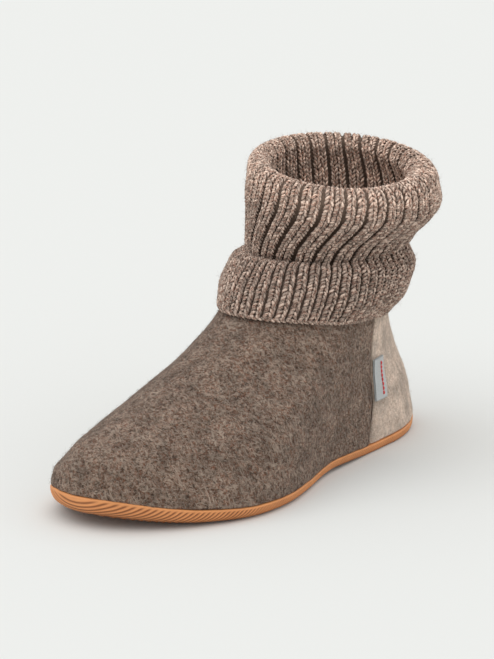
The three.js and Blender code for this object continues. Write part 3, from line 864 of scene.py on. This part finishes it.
def sole_shade(u, v):
    """Painted shade in the grooves and along the lower edge, where the rubber turns under towards the floor.
    """
    x = sole_outline(u)[0][:, 0]
    places, _, angle, under = smooth_side(u, v)
    strength = np.where(under > 0, 1, (0.6 + 0.4 * sole("rib", x)) * np.clip(angle * 6, 0, 1))
    deep = rib_groove(places, side_top(x)) * strength + np.sin(angle) ** 4 * 0.8
    return np.where(v > SOLE_MARKS[-1], np.clip(deep, 0, 1), 0)


def build_outsole(material):
    piece = wrap("sole_rubber", 1480, 64, sole_section, sole_shade)
    dress(piece, material, "rubber", "outsole")
    return piece


def collar_shape():
    level = {key: read(LEVELS, "up", key, 1.0)[0] for key in LEVELS}
    long = (LAST_LENGTH * (level["front"] - level["back"]) - FELT) / 2
    wide = HALF * level["waist"] - FELT / 2
    middle = LAST_LENGTH * (level["front"] + level["back"]) / 2
    return long, wide, middle


COLLAR_LONG, COLLAR_WIDE, COLLAR_MIDDLE = collar_shape()


def tube(share, up, over, out):
    """A point of the cuff above the collar. over: angle round the fold, from 0 on the outer layer to
    half a turn on the inner one. out: distance from the gap between the layers."""
    share = np.atleast_1d(share)
    row = {key: read(TUBE, "up", key, np.full(share.shape, up)) for key in TUBE}
    angle = FULL * (share - row["twist"])
    full_roll = ROLL * (1 + ROLL_OUT * np.sin(angle))
    roll = full_roll * row["roll"] / 2
    radius = LAYER_GAP / 2 + roll + out
    aside = radius * math.cos(over) - roll
    x = COLLAR_MIDDLE - LAST_LENGTH * row["rear"] - (COLLAR_LONG * row["long"] + aside) * np.cos(angle)
    y = swing(x) + HALF * row["out"] + (COLLAR_WIDE * row["wide"] + aside) * np.sin(angle)
    fold_height = RIM_HEIGHT - (LAYER_GAP + full_roll) / 2 - KNIT - RIB_RISE
    fall = RIM_DROP_OUT * (1 + np.sin(angle)) + RIM_DROP_FRONT * (1 - np.cos(angle))
    z = COLLAR_HEIGHT + (fold_height - COLLAR_HEIGHT) * up - row["drop"] * fall / 2
    return np.stack([x, y, z + radius * math.sin(over)], axis=1)


def spread(line, shares):
    """Places spaced evenly round a closed curve."""
    t = np.linspace(0, 1, 481)
    steps = np.linalg.norm(np.diff(line(t), axis=0), axis=1)
    length = np.concatenate([[0], np.cumsum(steps)])
    return np.interp(shares, length / length[-1], t)


def sag(turn):
    return ((1 + np.cos(FULL * (turn - SAG_TURN))) / 2) ** 3


def band_edge(turn):
    return BAND_EDGE + BAND_LIFT * (1 - np.cos(FULL * turn)) / 2 - BAND_SAG * sag(turn)


def band_height(turn, up):
    """Height of a row of the band, from its free edge at 0 to the collar at 1."""
    return band_edge(turn) + (COLLAR_HEIGHT - band_edge(turn)) * up


# Rows of the cuff's sheet: the band, the tube's outer layer, the fold, the inner layer and the tuck
BAND_ROWS, OUTER_ROWS, FOLD_ROWS, INNER_ROWS, TUCK_ROWS = 10, 13, 11, 12, 4


class Cuff:
    """The knitting as one sheet from its free edge over the fold to its end inside the felt."""

    ROUND = 336

    def __init__(self):
        self.grooves, self.tops, self.pair, self.rise = [], [], [], []
        shares = np.arange(self.ROUND) / self.ROUND
        for up in np.linspace(0, 0.95, BAND_ROWS):
            stand = read(BAND, "up", "stand", up)[0]
            layer = KNIT * read(BAND, "up", "layer", up)[0]
            middle = up_at(COLLAR_MIDDLE, band_height(0.25, up))
            turn = spread(lambda t: form(t, middle), shares) - BAND_TWIST * (1 - up)
            here = up_at(form(turn, middle)[:, 0], band_height(turn, up))
            pinch = PINCH * np.interp(up, [0.84, 0.95], [0, 1])
            clear = EASE + stand * (BAND_STAND + SAG_STAND * sag(turn)) - pinch
            self.add(lambda out: shell(turn, here, clear + layer + out), 0.0, BAND_RIB_RISE)
        for up in np.linspace(0.03, 1, OUTER_ROWS):
            turn = spread(lambda t: tube(t, up, 0.0, 0.0), shares)
            pair = float(np.interp(up, [0.03, 0.25, 0.75, 0.9, 1], [0.6, 1, 1, 0.65, 0.4]))
            rise = float(np.interp(up, [0.1, 0.7, 0.9, 1], [1, 1, 0.6, 0.45]))
            pinch = PINCH * np.interp(up, [0.03, 0.11], [1, 0])
            self.add(lambda out: tube(turn, up, 0.0, KNIT - pinch + out), pair, RIB_RISE * rise)
        turn = spread(lambda t: tube(t, 1.0, 0.0, 0.0), shares)
        for over in np.linspace(0, math.pi, FOLD_ROWS + 2)[1:-1]:
            pair = 0.4 + 0.4 * over / math.pi
            self.add(lambda out: tube(turn, 1.0, over, KNIT + out), pair, FOLD_RISE)
        for up in np.linspace(1, 0.08, INNER_ROWS):
            turn = spread(lambda t: tube(t, up, 0.0, 0.0), shares)
            self.add(lambda out: tube(turn, up, math.pi, KNIT + out), 1.0, RIB_RISE * 0.8)
        for up in np.linspace(1, 1 - TUCK / COLLAR_HEIGHT, TUCK_ROWS):
            turn = spread(lambda t: form(t, up), shares)
            self.add(lambda out: shell(turn, up, -FELT - EASE - KNIT - out), 0.8, RIB_RISE * 0.6)
        self.grooves = np.array(self.grooves)
        self.outward = unit(np.array(self.tops) - self.grooves)
        self.pair = np.array(self.pair)
        self.rise = np.array(self.rise)
        steps = np.linalg.norm(np.diff(self.grooves, axis=0), axis=2).mean(1)
        self.lengths = np.concatenate([[0], np.cumsum(steps)])

    def add(self, place, pair, rise):
        self.grooves.append(place(0.0))
        self.tops.append(place(MM))
        self.pair.append(pair)
        self.rise.append(rise)

    def at(self, share, length):
        """Place in the grooves and direction outwards, at shares round and a length from the free edge."""
        share, length = np.broadcast_arrays(share, length)
        row = np.interp(length, self.lengths, np.arange(len(self.lengths)))
        i = np.clip(row.astype(int), 0, len(self.lengths) - 2)
        f = (row - i)[..., None]
        column = (share % 1) * self.ROUND
        j = column.astype(int) % self.ROUND
        g = (column - np.floor(column))[..., None]
        k = (j + 1) % self.ROUND

        def mix(grid):
            low = grid[i, j] * (1 - g) + grid[i, k] * g
            high = grid[i + 1, j] * (1 - g) + grid[i + 1, k] * g
            return low * (1 - f) + high * f

        return mix(self.grooves), unit(mix(self.outward))

    def ribs(self, share, length):
        """How far the ribs stand out."""
        x = (share * RIB_COUNT) % 1
        pair = np.interp(length, self.lengths, self.pair)
        rise = np.interp(length, self.lengths, self.rise)
        fine = np.abs(np.sin(FULL * x)) ** 0.7
        broad = np.sin(math.pi * x) ** 0.5
        return rise * (fine * (1 - pair) + broad * pair)


CUFF = Cuff()
CUFF_LENGTH = CUFF.lengths[-1]
BAND_LENGTH = CUFF.lengths[BAND_ROWS - 1]
FOLD_START = CUFF.lengths[BAND_ROWS + OUTER_ROWS - 1]
FOLD_END = CUFF.lengths[BAND_ROWS + OUTER_ROWS + FOLD_ROWS]

# A stitch's leg: along the row, across the wale's half width and out, as shares
LEG = table(
    "along across out thick",
    (-0.25, 0.12, -0.9, 0.6),
    (0.15, 0.26, 0.05, 0.95),
    (0.5, 0.45, 0.4, 1.05),
    (0.85, 0.64, 0.15, 1.0),
    (1.25, 0.78, -0.9, 0.6),
)


# Half a column of stitches, how much closer and slimmer the two of a broad rib are, and how unevenly
# columns and rows lie, in shares of a rib and of a row
WALE_HALF, PAIR_CLOSER, PAIR_SLIMMER = 0.235, 0.04, 0.03
WALE_DRIFT, ROW_DRIFT = 0.012, 0.07
# The column width at which the yarn has its plain thickness, in metres, and how the yarn is flattened
WALE_WIDTH = 0.005
YARN_WIDE, YARN_DEEP = 1.12, 0.9
# The darkest stitch and the span up to the lightest one
TONE_LOW, TONE_SPAN = 0.68, 0.62


def stitches(name, first, last):
    """Two legs to each stitch, in columns of stitches, between two lengths from the free edge."""
    rows = np.arange(first, last, STITCH_ROW)
    wale, row, leg = np.meshgrid(np.arange(2 * RIB_COUNT), rows, [-1, 1], indexing="ij")
    wale, row, leg = wale.ravel(), row.ravel(), leg.ravel()
    row = row + rng.normal(0, ROW_DRIFT, row.shape) * STITCH_ROW
    pair = np.interp(row, CUFF.lengths, CUFF.pair)
    centre = wale // 2 + 0.5 + np.where(wale % 2 == 0, -1, 1) * (0.25 - PAIR_CLOSER * pair)
    centre = centre + rng.normal(0, WALE_DRIFT, row.shape)
    half = WALE_HALF - PAIR_SLIMMER * pair + rng.normal(0, WALE_DRIFT, row.shape)
    # The knitting grows towards the free edge, so each stitch opens that way
    length = row[:, None] - LEG["along"][None] * STITCH_ROW
    across = leg[:, None] * LEG["across"][None] * half[:, None]
    share = (centre[:, None] + across) / RIB_COUNT
    place, normal = CUFF.at(share, length)
    ahead, _ = CUFF.at(share + 0.25 / RIB_COUNT, length)
    wale_width = 2 * np.linalg.norm(ahead - place, axis=2).mean(1)
    thick = (YARN * np.clip(wale_width / WALE_WIDTH, 0.8, 1.3))[:, None] * LEG["thick"][None]
    out = CUFF.ribs(share, length) - YARN * 0.4 + LEG["out"][None] * YARN
    place = place + normal * out[..., None]
    # The rim's stitches are lighter, partly for stretched, brushed yarn and partly as painted light where
    # the rim faces up; the stitches inside carry painted light too.
    wear_and_painted_light = np.interp(row, [FOLD_START - GROOVE_FADE, FOLD_START, FOLD_END, CUFF_LENGTH], [1, 1.5, 1.5, 1.75])
    tone = wear_and_painted_light * (TONE_LOW + TONE_SPAN * rng.random(len(row)))
    return yarn(name, place, normal, thick * YARN_WIDE, thick * YARN_DEEP, tone)


def cast_off():
    """The chain of loops along the free edge."""
    count = 4 * RIB_COUNT
    start = np.arange(count) / count
    t = np.linspace(-0.35, 1.15, 5)
    share = start[:, None] + t[None] / count
    slant = np.linspace(-0.4, 0.5, 5)
    length = np.broadcast_to(MM * slant, share.shape)
    place, normal = CUFF.at(share, np.maximum(length, 0))
    below, _ = CUFF.at(share, np.full(share.shape, MM))
    down = unit(place - below)
    thick = YARN * np.array([0.6, 1.0, 1.15, 1.0, 0.6])
    bulge = YARN * np.array([-0.3, 0.6, 1.0, 0.6, -0.3])
    place = place + normal * bulge[None, :, None] + down * (MM * (0.3 - slant))[None, :, None]
    thick = np.broadcast_to(thick, share.shape)
    return yarn("cuff_cast_off", place, normal, thick * 1.1, thick, 0.9 + 0.6 * rng.random(count))


def build_cuff(yarn_material, ground):
    def sheet(u, v):
        length = np.interp(v, [0, 0.5, 1], [0, CUFF_LENGTH, 0])
        place, normal = CUFF.at(u, length)
        face = v < 0.5
        out = np.where(face, CUFF.ribs(u % 1, length) - YARN * 1.3, -KNIT * 0.55)
        edge = (v < 1e-4) | (v > 1 - 1e-4) | (np.abs(v - 0.5) < 1e-4)
        out = np.where(edge, -KNIT * 0.35, out)
        return place + normal * out[:, None]

    # Painted shade in the grooves: half at the free edge, full over the band and the outer layer, faint on
    # the rim, and strong again inside
    def depth(u, v):
        length = np.interp(v, [0, 0.5, 1], [0, CUFF_LENGTH, 0])
        marks = [0, BAND_LENGTH, FOLD_START - GROOVE_FADE, FOLD_START, FOLD_END, FOLD_END + GROOVE_FADE]
        return np.interp(length, marks, [0.5, 1, 1, 0.1, 0.1, 0.7])

    backing = wrap("cuff_ground", 280, 110, sheet, depth)
    dress(backing, ground, "marled_knit", "knit_cuff")
    pieces = [
        stitches("cuff_band", 0.5 * MM, BAND_LENGTH),
        stitches("cuff_outside", BAND_LENGTH, FOLD_START),
        stitches("cuff_rim", FOLD_START, FOLD_END),
        stitches("cuff_inside", FOLD_END, CUFF_LENGTH),
        cast_off(),
    ]
    for piece in pieces:
        dress(piece, yarn_material, "marled_knit")
    return pieces


def build_tab(tape, thread):
    """A folded tape whose two layers leave the seam together."""

    def place(along, height, out):
        up = up_at(COUNTER_REACH, TAB_BASE + height)
        seam = seam_turn(up)
        per_turn = np.linalg.norm(form(seam, up) - form(seam - 0.01, up), axis=1) / 0.01
        return shell(seam - along / per_turn, up, out)

    def loop(u, v):
        # Out over the upper layer, round the fold and back below it
        marks = [0, 0.42, 0.5, 0.58, 1]
        path = np.interp(v, marks, [0, 1, 1.03, 1, 0])
        lift = np.interp(v, marks, [1, 1, 0.5, 0, 0])
        bow = np.sin(math.pi * np.clip(path, 0, 1)) * TAPE
        out = CLEARANCE + TAPE / 2 + lift * (TAB_FOLD + bow)
        return place(path * (TAB_WIDTH - TAB_FOLD), u * TAB_HEIGHT, out)

    piece = wrap("tab_tape", 24, 60, loop)
    work_on(piece)
    solid = piece.modifiers.new("tape", "SOLIDIFY")
    solid.thickness = TAPE
    solid.offset = 0
    bpy.ops.object.modifier_apply(modifier="tape")
    dress(piece, tape, "woven_tape", "side_tab")
    # A running stitch up the tape
    arch = np.array([-0.8, 0.5, 0.8, 0.5, -0.8])
    shape = (THREAD_COUNT, len(arch), 3)
    heights = TAB_HEIGHT * (0.14 + 0.72 * np.arange(THREAD_COUNT) / (THREAD_COUNT - 1))
    height = (heights[:, None] + np.linspace(-0.5, 0.5, len(arch)) * THREAD_STITCH).ravel()
    along = np.full(height.shape, TAB_WIDTH * THREAD_PLACE)
    top = CLEARANCE + 2 * TAPE + TAB_FOLD
    places = place(along, height, top + THREAD * np.tile(arch, THREAD_COUNT))
    normals = unit(place(along, height, top + MM) - places).reshape(shape)
    thick = np.full(shape[:2], THREAD)
    tone = np.ones(THREAD_COUNT)
    line = yarn("tab_stitches", places.reshape(shape), normals, thick * 2, thick, tone)
    dress(line, thread, "woven_tape")


def felt_outside(centre, normal):
    """Faces on the outside of the felt, above the rubber and below the cuff."""
    middle = np.stack([centre[:, 0], swing(centre[:, 0]), centre[:, 2]], axis=1)
    away = np.einsum("ij,ij->i", normal, centre - middle) > 0
    return away & (centre[:, 2] > side_top(centre[:, 0])) & (centre[:, 2] < BAND_EDGE + BAND_LIFT)


def everywhere(centre, normal):
    return 1.0


def build_fuzz(boot, heel, loops, dark_hair, pale_hair, yarn_hair):
    """Loose fibres. piece: its source, count, length, how steeply they stand, where, material and slot."""
    made = [
        ("boot_fuzz", boot, 12000, 0.0026, 0.24, felt_outside, dark_hair, "dark_felt"),
        ("heel_fuzz", heel, 2500, 0.0024, 0.22, felt_outside, pale_hair, "pale_felt"),
        ("band_fuzz", loops[0], 2500, 0.003, 0.3, everywhere, yarn_hair, "marled_knit"),
        ("outside_fuzz", loops[1], 3500, 0.003, 0.3, everywhere, yarn_hair, "marled_knit"),
        ("rim_fuzz", loops[2], 3000, 0.003, 0.3, everywhere, yarn_hair, "marled_knit"),
    ]
    for name, source, count, length, stand, keep, material, slot in made:
        dress(fuzz(name, source, count, length, stand, keep), material, slot)


def build_insole(material):
    """The footbed keeps its CAD shape."""
    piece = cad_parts["insole"]
    piece.data.materials.clear()
    piece.data.materials.append(material)


def floor_and_light():
    """A pale floor under an even sky and one broad lamp, so that the floor looks the same near and far."""
    deselect()
    bpy.ops.mesh.primitive_circle_add(vertices=96, radius=60, fill_type="NGON")
    floor = bpy.context.object
    floor.name = "floor"
    material, _, shader = blank("floor_paint", 1.0, Specular_IOR_Level=0.0)
    shader.inputs["Base Color"].default_value = (0.8, 0.805, 0.785, 1)
    floor.data.materials.append(material)
    world = bpy.data.worlds.new("studio")
    world.use_nodes = True
    back = world.node_tree.nodes["Background"]
    back.inputs["Color"].default_value = (0.99, 1.0, 1.0, 1)
    back.inputs["Strength"].default_value = 0.78
    bpy.context.scene.world = world
    bpy.ops.object.light_add(type="SUN", location=KEY_PLACE)
    key = bpy.context.object
    key.name = "key"
    key.data.angle = math.radians(80)
    key.data.energy = 1.0
    key.rotation_euler = (-KEY_PLACE).to_track_quat("-Z", "Y").to_euler()


def camera():
    """The photograph's place and direction, aimed at the one shoe and drawn closer."""
    ahead = Vector((-math.cos(CAMERA_TURN), -math.sin(CAMERA_TURN), 0))
    right = Vector((-math.sin(CAMERA_TURN), math.cos(CAMERA_TURN), 0))
    look = ahead * math.cos(CAMERA_PITCH) - Vector((0, 0, math.sin(CAMERA_PITCH)))
    up = right.cross(look)
    aside = (SHOE_PIXEL[0] - PHOTO_WIDTH / 2) / PHOTO_FOCAL
    below = (SHOE_PIXEL[1] - PHOTO_HEIGHT / 2) / PHOTO_FOCAL
    aim = (look + right * aside - up * below).normalized()
    across = (right - aim * right.dot(aim)).normalized()
    turn = Matrix([across, across.cross(aim), -aim]).transposed()
    bpy.ops.object.camera_add(location=CAMERA_PLACE, rotation=turn.to_euler())
    shot = bpy.context.object
    shot.data.sensor_width = 36
    shot.data.lens = PHOTO_FOCAL * ENLARGED * shot.data.sensor_width / PHOTO_HEIGHT
    bpy.context.scene.camera = shot


camera()
floor_and_light()
bpy.context.scene.view_settings.view_transform = "Standard"

dark_felt = felt(
    "dark_felt",
    ((0.09, 0.055, 0.037), (0.25, 0.172, 0.125)),
    [
        ((0.29, 0.105, 0.055), 0.6, 4.5, 1.5),
        ((0.042, 0.025, 0.018), 0.85, 4.5, 1.4),
        ((0.46, 0.36, 0.285), 0.85, 6.0, 1.2),
    ],
    0.9,
)
pale_felt = felt(
    "pale_felt",
    ((0.52, 0.4, 0.315), (0.74, 0.59, 0.48)),
    [
        ((0.3, 0.17, 0.11), 0.55, 3.5, 0.9),
        ((0.88, 0.75, 0.64), 0.7, 5.0, 0.9),
    ],
    0.6,
)
dark_hair = fibre_hair("dark_felt_hair", (0.06, 0.042, 0.03), (0.46, 0.38, 0.31))
pale_hair = fibre_hair("pale_felt_hair", (0.4, 0.31, 0.25), (0.75, 0.66, 0.58))
yarn_hair = fibre_hair("yarn_hair", (0.16, 0.1, 0.075), (0.6, 0.5, 0.42))

boot = build_felt(dark_felt)
heel = build_counter(pale_felt)
build_outsole(natural_rubber())
build_insole(pale_felt)
loops = build_cuff(marled_yarn(), knit_ground_and_shade())
build_tab(woven_tape(), red_thread())
build_fuzz(boot, heel, loops, dark_hair, pale_hair, yarn_hair)
